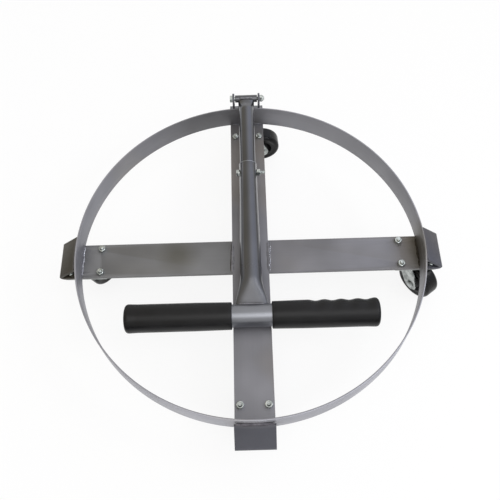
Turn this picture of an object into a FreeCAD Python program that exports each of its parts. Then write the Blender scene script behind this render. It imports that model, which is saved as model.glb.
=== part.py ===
import FreeCAD, Part
import math
import os

os.makedirs("parts", exist_ok=True)
V = FreeCAD.Vector
ORIGIN = V(0, 0, 0)
X, Y, Z = V(1, 0, 0), V(0, 1, 0), V(0, 0, 1)

# Drum trolley. Lengths are in mm and angles in degrees. The floor is z = 0 and the ring's axis is Z.
# X points to the right and Y to the back, where the folding handle is hinged.

overrun = 5.0            # how far every cutting tool runs past what it cuts

# Ring and cross of flat bars
ring_od = 420.0
ring_thickness = 2.0
ring_height = 32.0
bar_width = 45.0
bar_thickness = 4.0
fold_overhang = 24.0     # from the ring's outer face to the outermost point of a folded bar end
back_overhang = 27.5     # the same at the back, where the hinge stands on the brace
fold_inner_radius = 1.7
brace_drop = 9.4         # from the ring's top edge down to the top corner of a brace

# Weld beads of the frame
cross_bead_width = 5.0
cross_bead_height = 1.2
cross_bead_length_share = 0.92
ring_bead_leg = 2.8
ring_bead_length_share = 0.9
ring_bead_crown_share = 0.63   # how far the bead's crown stands out along each leg
groove_bead_radius = 1.7
groove_bead_length_share = 0.86
ear_bead_leg = 2.2
ear_bead_length_share = 0.8

# Screws: thread, across flats, head height and nut height of the one size used everywhere
bolt_d = 5.0
hex_af = 8.0
head_height = 3.5
nut_height = 4.0
bolt_hole_clearance = 0.5
thread_clearance = 0.05  # radial gap between a bolt and its nut
bolt_end = 2.6           # how far a castor bolt stands out of its nut

# Castors: top plate, swivel, fork, axle and wheel
swivel_inset = 6.8       # swivel axis, inwards from the ring's outer face
plate_length = 57.0
plate_width = 44.0
plate_thickness = 2.5
plate_corner = 5.0
hole_spacing_along = 36.0
hole_spacing_across = 32.0
swivel_gap = 1.6
ball_d = 4.0
ball_circle_d = 26.0
ball_count = 12
ball_clearance = 0.05
kingpin_d = 8.0
kingpin_clearance = 0.08
kingpin_head_d = 13.0
kingpin_head_depth = 1.6
kingpin_rivet_d = 12.0
kingpin_rivet_height = 2.6
retainer_od = 18.0
retainer_thickness = 2.0
retainer_gap = 0.3
fork_thickness = 2.5
fork_bend_radius = 5.0   # outer radius of the bend from crown to leg
fork_top_width = 24.0
fork_foot_radius = 9.5
fork_flare = 8.0         # how far the legs widen behind the crown
fork_flare_drop = 7.5    # how far below the bend they are that wide
crown_od = 34.0
trail = 19.2
axle_d = 6.0
axle_hole_clearance = 0.2
axle_head_d = 9.5
axle_head_height = 2.4
sleeve_od = 10.0
sleeve_clearance = 0.1
wheel_clearance = 0.08   # radial, wheel bore on its sleeve
hub_side_clearance = 0.3
wheel_od = 51.0
wheel_width = 21.0
wheel_side_gap = 1.5     # tyre to fork leg, each side
wheel_crown_gap = 4.9
tyre_inner_d = 36.0
tyre_shoulder = 4.5
tyre_foot_width = 19.0
hub_d = 17.0
web_thickness = 9.0
rim_thickness = 3.5

# Hinge of the handle
hinge_outset = 8.9       # hinge axis behind the ring's outer face
hinge_rise = 8.0         # hinge axis above the ring's top edge
barrel_od = 9.6
barrel_length = 29.4
barrel_clearance = 0.1   # radial, barrel on the hinge bolt
ear_gap = 1.0            # barrel to ear, each side
ear_thickness = 2.5
ear_radius = 7.0
ear_foot = 21.0          # length of an ear's foot down the brace
ear_foot_inset = 0.8     # start of the foot below the brace's top corner
lock_nut_height = 3.8
lock_collar_d = 7.4
lock_collar_height = 1.4
hinge_bolt_end = 1.0

# Handle: inner tube, outer tube, tee bar and grips
handle_length = 304.0    # hinge axis to tee bar axis
rest_gap = 0.3           # tee bar to the front bar in the folded position
inner_od = 20.0
inner_wall = 1.5
inner_flat_width = 21.0  # the hinge end is pressed down to sit on the barrel
inner_flat_height = 8.6
inner_flare_start = 21.0
inner_flare_end = 5.5
inner_end_share = 0.5    # where the inner tube stops inside the outer one, as a share of the handle
tube_overlap = 50.0      # how far the outer tube reaches over the inner one
outer_od_lip = 22.6
outer_od_full = 26.4
outer_straight = 12.0    # run between the taper and the flare
outer_flare = 35.0       # run along which the outer tube is pressed flat
outer_flat_inset = 11.0  # flat end reached this far short of the tee bar's axis
outer_flat_width = 38.0
outer_flat_height = 8.4
joint_clearance = 0.1
joint_bolt_inset = 12.0  # joint bolt to the outer tube's lip
joint_bolt_end = 6.4     # how far the joint bolt stands out of its nut
tube_flat_share = 0.01   # flat on a round tube's section, as a share of its diameter
tee_od = 27.0
tee_wall = 2.0
tee_bead_radius = 2.0
tee_bead_length_share = 0.84
barrel_bead_radius = 1.6
barrel_bead_length_share = 0.84
grip_gap = 46.6          # bare tube between the two grips
grip_end_wall = 4.0
grip_d_inner = 32.2
grip_d_outer = 33.2
grip_end_d = 34.0
grip_plain = 41.5        # length before the first finger groove
groove_pitch = 19.5
groove_count = 4
groove_depth = 1.5
grip_end_length = 4.7
grip_end_round = 4.5
grip_points = 24         # points of a grip's outline
groove_angle_right = 25.0   # where the grooves face, up from the side towards the hinge
groove_angle_left = -65.0

# Castor names, the direction of each bar end and the way each castor trails in the photograph
castors = (("front", -90.0, 92.0), ("right", 0.0, -54.0), ("back", 90.0, 4.0), ("left", 180.0, 54.0))

# Levels and radii that follow from the sizes above
axle_z = wheel_od / 2
crown_under = wheel_od + wheel_crown_gap
crown_top = crown_under + fork_thickness
plate_bottom = crown_top + swivel_gap
bar_bottom = plate_bottom + plate_thickness
bar_top = bar_bottom + bar_thickness
ring_top = bar_top + ring_height
ring_r = ring_od / 2
ring_ri = ring_r - ring_thickness
swivel_r = ring_r - swivel_inset
fold_outer_radius = fold_inner_radius + bar_thickness
fold_z = bar_bottom + fold_outer_radius
fork_gap = wheel_width + 2 * wheel_side_gap
fork_half = fork_gap / 2 + fork_thickness
hinge_y = ring_r + hinge_outset
hinge_z = ring_top + hinge_rise
ear_inner = barrel_length / 2 + ear_gap
ear_outer = ear_inner + ear_thickness
tee_z = bar_top + tee_od / 2 + rest_gap
rest_angle = math.degrees(math.asin((hinge_z - tee_z) / handle_length))
inner_end = handle_length * inner_end_share
outer_lip = inner_end - tube_overlap
joint_bolt_at = outer_lip + joint_bolt_inset
outer_flare_end = handle_length - outer_flat_inset
outer_flare_start = outer_flare_end - outer_flare
outer_taper_end = outer_flare_start - outer_straight
grip_length = grip_plain + groove_pitch * groove_count + grip_end_length
tee_length = grip_gap + 2 * (grip_length - grip_end_wall)

nodes = {}


def put(name, shape):
    """Keep a finished piece under its node's name."""
    nodes[name] = shape


def line(a, b):
    return Part.LineSegment(a, b).toShape()


def arc(a, b, c):
    return Part.Arc(a, b, c).toShape()


def face(edges):
    return Part.Face(Part.Wire(edges))


def polygon(points):
    return Part.Face(Part.makePolygon(points + [points[0]]))


def turned(shape, angle, axis=Z, centre=ORIGIN):
    out = shape.copy()
    out.rotate(centre, axis, angle)
    return out


def moved(shape, vector):
    out = shape.copy()
    out.translate(vector)
    return out


def rod(diameter, start, direction, length):
    return Part.makeCylinder(diameter / 2, length, start, direction)


def hexagon(af, height, start, direction):
    """A hexagonal prism that grows from start along direction."""
    corner = af / (2 * math.cos(math.pi / 6))
    points = [V(corner * math.cos(i * math.pi / 3), corner * math.sin(i * math.pi / 3), 0)
              for i in range(6)]
    prism = polygon(points).extrude(Z * height)
    prism.Placement = FreeCAD.Placement(start, FreeCAD.Rotation(Z, direction))
    return prism


def hex_bolt(start, direction, length):
    """A bolt whose head's bearing face is at start, with the shank along direction."""
    head = hexagon(hex_af, head_height, start - direction * head_height, direction)
    return head.fuse(rod(bolt_d, start, direction, length)).removeSplitter()


def hex_nut(start, direction, height=nut_height):
    bore = rod(bolt_d + 2 * thread_clearance, start - direction * overrun, direction,
               height + 2 * overrun)
    return hexagon(hex_af, height, start, direction).cut(bore)


def brace_error(angle, fold_r):
    """Distance of a brace's outer face from the fold, for a brace that ends at the ring."""
    across = ring_r + bar_thickness * math.sin(angle) - fold_r
    up = ring_top - brace_drop - fold_z
    return across * math.sin(angle) + up * math.cos(angle) - fold_outer_radius


def solve_brace_angle(fold_r):
    low, high = 0.0, math.pi / 2
    for _ in range(60):
        middle = (low + high) / 2
        if brace_error(middle, fold_r) > 0:
            low = middle
        else:
            high = middle
    return low


class Brace:
    """A brace that leans back from its fold, so that its square end meets the ring's outer face."""

    def __init__(self, overhang):
        self.fold_r = ring_r + overhang - fold_outer_radius
        self.angle = solve_brace_angle(self.fold_r)
        self.out = V(math.sin(self.angle), 0, math.cos(self.angle))
        self.down = V(math.cos(self.angle), 0, -math.sin(self.angle))
        self.corner = V(ring_r + bar_thickness * math.sin(self.angle), 0, ring_top - brace_drop)
        self.touch = self.corner - self.out * bar_thickness

    def on_fold(self, radius, angle):
        return V(self.fold_r + radius * math.cos(angle), 0, fold_z + radius * math.sin(angle))


brace, back_brace = Brace(fold_overhang), Brace(back_overhang)


def folded_bar(start, brace):
    """A flat bar along X from start to its end, which is folded up and back to the ring."""
    first, last = -math.pi / 2, math.pi / 2 - brace.angle
    middle = (first + last) / 2
    outer = [brace.on_fold(fold_outer_radius, a) for a in (first, middle, last)]
    inner = [brace.on_fold(fold_inner_radius, a) for a in (last, middle, first)]
    bottom_start, top_start = V(start, 0, bar_bottom), V(start, 0, bar_top)
    outline = face([line(bottom_start, outer[0]), arc(*outer), line(outer[2], brace.corner),
                    line(brace.corner, brace.touch), line(brace.touch, inner[0]), arc(*inner),
                    line(inner[2], top_start), line(top_start, bottom_start)])
    bar = moved(outline.extrude(Y * bar_width), Y * (-bar_width / 2))
    hole_d = bolt_d + bolt_hole_clearance
    for x, y in bolt_places():
        hole = rod(hole_d, V(x, y, bar_bottom - overrun), Z, bar_thickness + overrun + overrun)
        # A hole stops below the brace that leans over it.
        bar = bar.cut(hole.common(Part.makeBox(2 * ring_r, bar_width, bar_thickness + overrun,
                                               V(0, -bar_width / 2, bar_bottom - overrun))))
    return bar


def bolt_places():
    """The four castor bolts of a bar that lies along X."""
    along, across = hole_spacing_along / 2, hole_spacing_across / 2
    return [(swivel_r + i * along, j * across) for i in (-1, 1) for j in (-1, 1)]


def long_bar():
    front = turned(folded_bar(0, brace), -90)
    back = turned(folded_bar(0, back_brace), 90)
    return front.fuse(back).removeSplitter()


def drum_ring():
    outer = Part.makeCylinder(ring_r, ring_height, V(0, 0, bar_top))
    return outer.cut(Part.makeCylinder(ring_ri, ring_height, V(0, 0, bar_top)))


def cross_bead(level, side):
    """A flat crowned bead over a butt joint, on the top (side 1) or under the bar (side -1)."""
    half, height = cross_bead_width / 2, cross_bead_height
    at, length = bar_width / 2, bar_width * cross_bead_length_share
    ends = [V(at - half, 0, level), V(at, 0, level + side * height), V(at + half, 0, level)]
    bead = face([arc(*ends), line(ends[2], ends[0])]).extrude(Y * length)
    return moved(bead, Y * (-length / 2))


def ring_bead():
    """A fillet at the inner foot of the ring, across the bar that lies along X."""
    leg = ring_bead_leg
    foot, root, top = V(ring_ri - leg, 0, bar_top), V(ring_ri, 0, bar_top), V(ring_ri, 0, bar_top + leg)
    crown = root + (foot - root + top - root) * ring_bead_crown_share
    section = face([line(foot, root), line(root, top), arc(top, crown, foot)])
    half_angle = math.degrees(math.asin(bar_width * ring_bead_length_share / 2 / ring_ri))
    return turned(section.revolve(ORIGIN, Z, 2 * half_angle), -half_angle)


def groove_bead(brace):
    """The bead in the groove between a brace's end and the ring's outer face."""
    length = bar_width * groove_bead_length_share
    middle = (brace.corner + brace.touch) * 0.5
    bead = rod(2 * groove_bead_radius, V((middle.x + ring_r) / 2, -length / 2, middle.z), Y, length)
    return bead.cut(folded_bar(0, brace)).cut(Part.makeCylinder(ring_r, 2 * ring_top))


def on_brace(x, down, out):
    """A point on the back brace: x across, down the slope from its top corner, out from its face."""
    p = back_brace.corner + back_brace.down * down + back_brace.out * out
    return V(x, p.x, p.z)


def tangent(point, centre, radius, side):
    """Where a line from point touches a circle in the XZ or YZ plane, as an angle."""
    du, dv = point[0] - centre[0], point[1] - centre[1]
    return math.atan2(dv, du) + side * math.acos(radius / math.hypot(du, dv))


def hinge_ear(side):
    """A rounded plate on the back brace that carries the hinge bolt."""
    top = on_brace(0, ear_foot_inset, 0)
    low = on_brace(0, ear_foot_inset + ear_foot, 0)
    centre = (hinge_y, hinge_z)
    first = tangent((low.y, low.z), centre, ear_radius, 1)
    last = tangent((top.y, top.z), centre, ear_radius, -1) + 2 * math.pi
    round_end = [V(0, hinge_y + ear_radius * math.cos(a), hinge_z + ear_radius * math.sin(a))
                 for a in (first, (first + last) / 2, last)]
    plate = face([line(top, low), line(low, round_end[0]), arc(*round_end), line(round_end[2], top)])
    plate = moved(plate.extrude(X * ear_thickness), X * ear_inner)
    hole = rod(bolt_d + bolt_hole_clearance, V(ear_inner - overrun, hinge_y, hinge_z), X,
               ear_thickness + 2 * overrun)
    plate = plate.cut(hole)
    return plate if side > 0 else plate.mirror(ORIGIN, X)


def ear_bead(side):
    length = ear_foot * ear_bead_length_share
    start = ear_foot_inset + (ear_foot - length) / 2
    section = polygon([on_brace(side * ear_outer, start, 0),
                       on_brace(side * (ear_outer + ear_bead_leg), start, 0),
                       on_brace(side * ear_outer, start, ear_bead_leg)])
    return section.extrude(V(0, back_brace.down.x, back_brace.down.z) * length)


# Frame
bar_x = folded_bar(bar_width / 2, brace)
put("drum_ring", drum_ring())
put("long_bar", long_bar())
put("right_arm", bar_x)
put("left_arm", turned(bar_x, 180))
put("hinge_ear_left", hinge_ear(-1))
put("hinge_ear_right", hinge_ear(1))
welds = []
for angle in (0, 180):
    welds += [turned(cross_bead(bar_top, 1), angle), turned(cross_bead(bar_bottom, -1), angle)]
for name, angle, trail_angle in castors:
    welds += [turned(ring_bead(), angle), turned(groove_bead(back_brace if name == "back" else brace), angle)]
welds += [ear_bead(side) for side in (-1, 1)]
put("frame_welds", Part.makeCompound(welds))

# Castor screws: heads under the top plates, nuts on the bars
shank = plate_thickness + bar_thickness + nut_height + bolt_end
bolts, nuts = [], []
for name, angle, trail_angle in castors:
    for x, y in bolt_places():
        bolts.append(turned(hex_bolt(V(x, y, plate_bottom), Z, shank), angle))
        nuts.append(turned(hex_nut(V(x, y, bar_top), Z), angle))
put("castor_bolts", Part.makeCompound(bolts))
put("castor_nuts", Part.makeCompound(nuts))


# Castor pieces, about a swivel axis at the origin with the wheel trailing along X
def ball_groove():
    ball_z = (crown_top + plate_bottom) / 2
    return Part.makeTorus(ball_circle_d / 2, ball_d / 2 + ball_clearance, V(0, 0, ball_z))


def castor_plate():
    """The top plate, lengthwise along X, with its ball race and the kingpin's countersink."""
    plate = Part.makeBox(plate_length, plate_width, plate_thickness,
                         V(-plate_length / 2, -plate_width / 2, plate_bottom))
    upright = [e for e in plate.Edges if abs(e.tangentAt(e.FirstParameter).z) > 0.5]
    plate = plate.makeFillet(plate_corner, upright)
    for x, y in bolt_places():
        plate = plate.cut(rod(bolt_d + bolt_hole_clearance, V(x - swivel_r, y, plate_bottom - overrun), Z,
                              plate_thickness + 2 * overrun))
    return plate.cut(ball_groove()).cut(kingpin())


def kingpin():
    """A countersunk pin through plate and crown, riveted over below the retaining washer."""
    rivet_top = crown_under - retainer_gap - retainer_thickness
    r, head_r, rivet_r = kingpin_d / 2, kingpin_head_d / 2, kingpin_rivet_d / 2
    neck = bar_bottom - kingpin_head_depth
    bottom = rivet_top - kingpin_rivet_height
    half_height = rivet_top - kingpin_rivet_height / 2
    dome = (rivet_r ** 2 + (half_height - bottom) ** 2) / (2 * (half_height - bottom))
    half_turn = math.asin(rivet_r / dome) / 2
    cap = arc(V(rivet_r, 0, half_height),
              V(dome * math.sin(half_turn), 0, bottom + dome * (1 - math.cos(half_turn))), V(0, 0, bottom))
    section = face([line(V(0, 0, bar_bottom), V(head_r, 0, bar_bottom)),
                    line(V(head_r, 0, bar_bottom), V(r, 0, neck)), line(V(r, 0, neck), V(r, 0, rivet_top)),
                    line(V(r, 0, rivet_top), V(rivet_r, 0, rivet_top)),
                    line(V(rivet_r, 0, rivet_top), V(rivet_r, 0, half_height)), cap,
                    line(V(0, 0, bottom), V(0, 0, bar_bottom))])
    return section.revolve(ORIGIN, Z, 360)


def retainer():
    bottom = crown_under - retainer_gap - retainer_thickness
    disc = rod(retainer_od, V(0, 0, bottom), Z, retainer_thickness)
    return disc.cut(rod(kingpin_d, V(0, 0, bottom - overrun), Z, retainer_thickness + 2 * overrun))


def ball_ring():
    ball_z = (crown_top + plate_bottom) / 2
    ball = Part.makeSphere(ball_d / 2, V(ball_circle_d / 2, 0, ball_z))
    return Part.makeCompound([turned(ball, 360 * i / ball_count) for i in range(ball_count)])


def fork():
    """A pressed fork: a bent strap trimmed to its side view, under a round crown with the ball race."""
    out, inn = fork_half, fork_gap / 2
    low = axle_z - fork_foot_radius - overrun
    bend, bend_in = fork_bend_radius, fork_bend_radius - fork_thickness
    flat, shoulder = out - bend, crown_top - bend
    diagonal = math.sqrt(0.5)

    def corner(side, radius):
        return [V(0, side * out, 0) + V(0, -side * bend, shoulder) + V(0, side * radius * u, radius * v)
                for u, v in ((1, 0), (diagonal, diagonal), (0, 1))]

    r_out, r_in = corner(1, bend), corner(1, bend_in)
    l_out, l_in = corner(-1, bend), corner(-1, bend_in)
    foot = [V(0, y, low) for y in (out, inn, -inn, -out)]
    strap = face([line(foot[0], r_out[0]), arc(*r_out), line(r_out[2], l_out[2]), arc(*reversed(l_out)),
                  line(l_out[0], foot[3]), line(foot[3], foot[2]), line(foot[2], l_in[0]), arc(*l_in),
                  line(l_in[2], r_in[2]), arc(*reversed(r_in)), line(r_in[0], foot[1]),
                  line(foot[1], foot[0])])
    reach = trail + fork_foot_radius + overrun
    strap = moved(strap.extrude(X * (2 * reach)), X * -reach)

    half, over = fork_top_width / 2, crown_top + overrun
    first = tangent((-half, shoulder), (trail, axle_z), fork_foot_radius, 1)
    if first < 0:
        first += 2 * math.pi
    wide = V(half + fork_flare, 0, shoulder - fork_flare_drop)
    last = tangent((wide.x, wide.z), (trail, axle_z), fork_foot_radius, -1) + 2 * math.pi
    toe = [V(trail + fork_foot_radius * math.cos(a), 0, axle_z + fork_foot_radius * math.sin(a))
           for a in (first, (first + last) / 2, last)]
    front, back = V(-half, 0, shoulder), V(half, 0, shoulder)
    side = face([line(front, toe[0]), arc(*toe), line(toe[2], wide), line(wide, back),
                 line(back, V(half, 0, over)), line(V(half, 0, over), V(-half, 0, over)),
                 line(V(-half, 0, over), front)])
    side = moved(side.extrude(Y * (2 * out)), Y * -out)
    body = strap.common(side).fuse(rod(crown_od, V(0, 0, crown_under), Z, fork_thickness)).removeSplitter()
    body = body.cut(rod(kingpin_d + 2 * kingpin_clearance, V(0, 0, crown_under - overrun), Z,
                        fork_thickness + 2 * overrun))
    axle_hole = rod(axle_d + axle_hole_clearance, V(trail, -out - overrun, axle_z), Y,
                    2 * (out + overrun))
    return body.cut(ball_groove()).cut(axle_hole)


def axle():
    """A pin through fork and sleeve with a rounded head at each end, as riveted over."""
    r, head_r, end = axle_d / 2, axle_head_d / 2, fork_half + axle_head_height
    brow = fork_half + axle_head_height / 2

    def cap(side):
        return [V(head_r, side * fork_half, 0), V(head_r, side * brow, 0),
                V(r, side * end, 0), V(0, side * end, 0)]

    up, down = cap(1), cap(-1)
    section = polygon(down[::-1] + [V(r, -fork_half, 0), V(r, fork_half, 0)] + up)
    return moved(section.revolve(ORIGIN, Y, 360), V(trail, 0, axle_z))


def axle_sleeve():
    tube = rod(sleeve_od, V(trail, -fork_gap / 2, axle_z), Y, fork_gap)
    return tube.cut(rod(axle_d + 2 * sleeve_clearance, V(trail, -fork_half, axle_z), Y, 2 * fork_half))


def wheel_core():
    """Hub, dished web and rim, turned about the axle."""
    bore, hub, rim = sleeve_od / 2 + wheel_clearance, hub_d / 2, tyre_inner_d / 2
    rim_in, web = rim - rim_thickness, web_thickness / 2
    hub_half, rim_half = fork_gap / 2 - hub_side_clearance, tyre_foot_width / 2
    half = [V(bore, hub_half, 0), V(hub, hub_half, 0), V(hub + (hub_half - web) / 2, web, 0),
            V(rim_in - (rim_half - web) / 2, web, 0), V(rim_in, rim_half, 0), V(rim, rim_half, 0)]
    section = polygon(half + [V(p.x, -p.y, 0) for p in reversed(half)])
    return moved(section.revolve(ORIGIN, Y, 360), V(trail, 0, axle_z))


def tyre():
    inner, outer, foot, half = tyre_inner_d / 2, wheel_od / 2, tyre_foot_width / 2, wheel_width / 2
    r, lean = tyre_shoulder, tyre_shoulder * math.sqrt(0.5)
    low, high = outer - r, half - r

    def shoulder(side):
        return [V(low, side * half, 0), V(low + lean, side * (high + lean), 0), V(outer, side * high, 0)]

    up, down = shoulder(1), shoulder(-1)
    section = face([line(V(inner, -foot, 0), down[0]), arc(*down), line(down[2], up[2]),
                    arc(*reversed(up)), line(up[0], V(inner, foot, 0)),
                    line(V(inner, foot, 0), V(inner, -foot, 0))])
    return moved(section.revolve(ORIGIN, Y, 360), V(trail, 0, axle_z))


fixed_pieces = {"castor_plate": castor_plate(), "kingpin": kingpin(), "retainer": retainer()}
turning_pieces = {"ball_ring": ball_ring(), "fork": fork(), "axle": axle(), "axle_sleeve": axle_sleeve(),
                  "wheel_core": wheel_core(), "tyre": tyre()}
for name, angle, trail_angle in castors:
    spot = V(swivel_r * math.cos(math.radians(angle)), swivel_r * math.sin(math.radians(angle)), 0)
    for piece, shape in fixed_pieces.items():
        put(name + "_" + piece, moved(turned(shape, angle), spot))
    for piece, shape in turning_pieces.items():
        put(name + "_" + piece, moved(turned(shape, trail_angle), spot))


# Handle, built flat from the hinge axis at the origin towards -Y, then tilted down onto the front bar
def section_at(place, width, height):
    """A tube's outline across the handle: round where width and height agree, pressed flat elsewhere."""
    r = height / 2
    half = max(width - height, height * tube_flat_share) / 2
    y = -place
    left = [V(-half, y, r), V(-half - r, y, 0), V(-half, y, -r)]
    right = [V(half, y, -r), V(half + r, y, 0), V(half, y, r)]
    return Part.Wire([line(right[2], left[0]), arc(*left), line(left[2], right[0]), arc(*right)])


def run_of_tube(stations, wall, straight):
    """A tube through (place, width, height) stations, as a pair of solids: outside and bore."""
    outside = [section_at(s, w, h) for s, w, h in stations]
    bore = [section_at(s, w - 2 * wall, h - 2 * wall) for s, w, h in stations]
    return Part.makeLoft(outside, True, straight), Part.makeLoft(bore, True, straight)


def flare(start, end, od, width, height, steps=6):
    """Stations of a tube that is pressed flat along a smooth ease from start to end."""
    out = []
    for i in range(steps + 1):
        t = i / steps
        ease = t * t * (3 - 2 * t)
        out.append((start + (end - start) * t, od + (width - od) * ease, od + (height - od) * ease))
    return out


def joined(runs):
    """One hollow tube from its runs, laid end to end."""
    outside, bore = runs[0]
    for more_outside, more_bore in runs[1:]:
        outside, bore = outside.fuse(more_outside), bore.fuse(more_bore)
    return outside.cut(bore)


def inner_tube():
    d = inner_od
    flat = (0, inner_flat_width, inner_flat_height), (inner_flare_end, inner_flat_width, inner_flat_height)
    runs = [run_of_tube(flat, inner_wall, True),
            run_of_tube(flare(inner_flare_start, inner_flare_end, d, inner_flat_width, inner_flat_height),
                        inner_wall, False),
            run_of_tube([(inner_flare_start, d, d), (inner_end, d, d)], inner_wall, True)]
    barrel = rod(barrel_od, X * -barrel_length, X, 2 * barrel_length)
    beyond = Part.makeBox(2 * barrel_length, barrel_od, 2 * barrel_od, V(-barrel_length, 0, -barrel_od))
    return joined(runs).cut(barrel).cut(beyond).cut(joint_bolt_hole())


def outer_tube():
    d0, d1, wall = outer_od_lip, outer_od_full, outer_wall()
    flat = ((outer_flare_end, outer_flat_width, outer_flat_height),
            (handle_length, outer_flat_width, outer_flat_height))
    runs = [run_of_tube([(outer_lip, d0, d0), (inner_end, d0, d0)], wall, True),
            run_of_tube([(inner_end, d0, d0), (outer_taper_end, d1, d1)], wall, True),
            run_of_tube([(outer_taper_end, d1, d1), (outer_flare_start, d1, d1)], wall, True),
            run_of_tube(flare(outer_flare_start, outer_flare_end, d1, outer_flat_width, outer_flat_height),
                        wall, False),
            run_of_tube(flat, wall, True)]
    bar = rod(tee_od, V(-tee_length / 2, -handle_length, 0), X, tee_length)
    return joined(runs).cut(bar).cut(joint_bolt_hole())


def outer_wall():
    """The wall that leaves the inner tube its clearance at the joint."""
    return (outer_od_lip - inner_od) / 2 - joint_clearance


def joint_bolt_hole():
    return rod(bolt_d + bolt_hole_clearance, V(-outer_od_full, -joint_bolt_at, 0), X, 2 * outer_od_full)


def tee_bar():
    start = V(-tee_length / 2, -handle_length, 0)
    tube = rod(tee_od, start, X, tee_length)
    return tube.cut(rod(tee_od - 2 * tee_wall, start - X * overrun, X, tee_length + 2 * overrun))


def hinge_barrel():
    start = X * (-barrel_length / 2)
    tube = rod(barrel_od, start, X, barrel_length)
    return tube.cut(rod(bolt_d + 2 * barrel_clearance, start - X * overrun, X, barrel_length + 2 * overrun))


def grip_section(place, radius, depth):
    """An outline across a grip: round, with a finger hollow of this depth on the Y side."""
    points = []
    for i in range(grip_points):
        angle = 2 * math.pi * i / grip_points
        reach = radius - depth * max(0, math.cos(angle)) ** 2
        points.append(V(place, reach * math.cos(angle), reach * math.sin(angle)))
    curve = Part.BSplineCurve()
    curve.interpolate(Points=points, PeriodicFlag=True)
    return Part.Wire([curve.toShape()])


def grip():
    """A moulded grip along X: plain part, finger grooves on the Y side and a closed, rounded end."""
    r0, r1, r_end = grip_d_inner / 2, grip_d_outer / 2, grip_end_d / 2
    per_groove = 4
    plain = 2 * per_groove
    sections = [grip_section(grip_plain * i / plain, r0 + (r1 - r0) * i / plain, 0) for i in range(plain)]
    for i in range(per_groove * groove_count + 1):
        depth = groove_depth * math.sin(math.pi * i / per_groove) ** 2
        swell = (r_end - r1) * max(0, i / per_groove - groove_count + 1 / 2) * 2
        sections.append(grip_section(grip_plain + groove_pitch * i / per_groove, r1 + swell, depth))
    for i in range(1, 4):
        turn = math.pi / 2 * i / 3
        sections.append(grip_section(grip_length - grip_end_round * (1 - math.sin(turn)),
                                     r_end - grip_end_round * (1 - math.cos(turn)), 0))
    body = Part.makeLoft(sections, True, False)
    return body.cut(rod(tee_od, X * -overrun, X, grip_length - grip_end_wall + overrun))


def tee_beads(tube):
    """Beads over and under the flat end of the outer tube, along the tee bar."""
    length, h = outer_flat_width * tee_bead_length_share, outer_flat_height / 2
    y = -handle_length + math.sqrt((tee_od / 2) ** 2 - h ** 2)
    bar = rod(tee_od, V(-tee_length / 2, -handle_length, 0), X, tee_length)
    return [rod(2 * tee_bead_radius, V(-length / 2, y, side * h), X, length).cut(bar).cut(tube)
            for side in (-1, 1)]


def barrel_beads(tube):
    length, h = inner_flat_width * barrel_bead_length_share, inner_flat_height / 2
    y = -math.sqrt((barrel_od / 2) ** 2 - h ** 2)
    barrel = rod(barrel_od, X * -barrel_length, X, 2 * barrel_length)
    return [rod(2 * barrel_bead_radius, V(-length / 2, y, side * h), X, length).cut(barrel).cut(tube)
            for side in (-1, 1)]


def outside_only(shape):
    """The solids of a cut bead that lie on the outside of the pressed tube: the larger one of each."""
    return max(shape.Solids, key=lambda s: s.Volume)


def in_place(shape):
    return moved(turned(shape, rest_angle, X), V(0, hinge_y, hinge_z))


inner, outer = inner_tube(), outer_tube()
put("inner_tube", in_place(inner))
put("outer_tube", in_place(outer))
put("tee_bar", in_place(tee_bar()))
put("hinge_barrel", in_place(hinge_barrel()))
beads = [outside_only(b) for b in tee_beads(outer) + barrel_beads(inner)]
put("handle_welds", in_place(Part.makeCompound(beads)))

right_grip = moved(turned(grip(), groove_angle_right, X), V(grip_gap / 2, -handle_length, 0))
left_grip = moved(turned(grip().mirror(ORIGIN, X), groove_angle_left, X), V(-grip_gap / 2, -handle_length, 0))
put("grip_right", in_place(right_grip))
put("grip_left", in_place(left_grip))

half_joint = outer_od_lip * (1 + tube_flat_share) / 2
joint_bolt = hex_bolt(V(-half_joint, -joint_bolt_at, 0), X, 2 * half_joint + nut_height + joint_bolt_end)
put("joint_bolt", in_place(joint_bolt))
put("joint_nut", in_place(hex_nut(V(half_joint, -joint_bolt_at, 0), X)))

# Hinge bolt and its lock nut, which stay with the ears
lock_height = lock_nut_height + lock_collar_height
hinge_bolt = hex_bolt(V(-ear_outer, hinge_y, hinge_z), X, 2 * ear_outer + lock_height + hinge_bolt_end)
put("hinge_bolt", hinge_bolt)
nut_start = V(ear_outer, hinge_y, hinge_z)
collar = rod(lock_collar_d, nut_start, X, lock_height)
lock_nut = hexagon(hex_af, lock_nut_height, nut_start, X).fuse(collar)
put("hinge_nut", lock_nut.cut(rod(bolt_d + 2 * thread_clearance, nut_start, X, lock_height)).removeSplitter())

for name, shape in nodes.items():
    shape.exportStep("parts/" + name + ".step")
print(len(nodes), "nodes; brace angle", round(math.degrees(brace.angle), 2), "and at the back",
      round(math.degrees(back_brace.angle), 2), "handle tilt", round(rest_angle, 2))
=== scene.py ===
# %% [markdown]
# # A drum trolley
# A steel ring on a cross of flat bars carries a drum. Each bar end is folded back to the ring as a brace,
# a swivel castor is screwed under it, and a tee handle folds down inside the ring.
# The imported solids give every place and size. This lesson dresses them: rounded edges, rippled welds,
# threads, and a material for each metal and rubber.

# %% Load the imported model
import bpy
from math import acos, asin, atan2, copysign, cos, degrees, hypot, pi, radians, sin, sqrt, tan
from mathutils import Matrix


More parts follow.
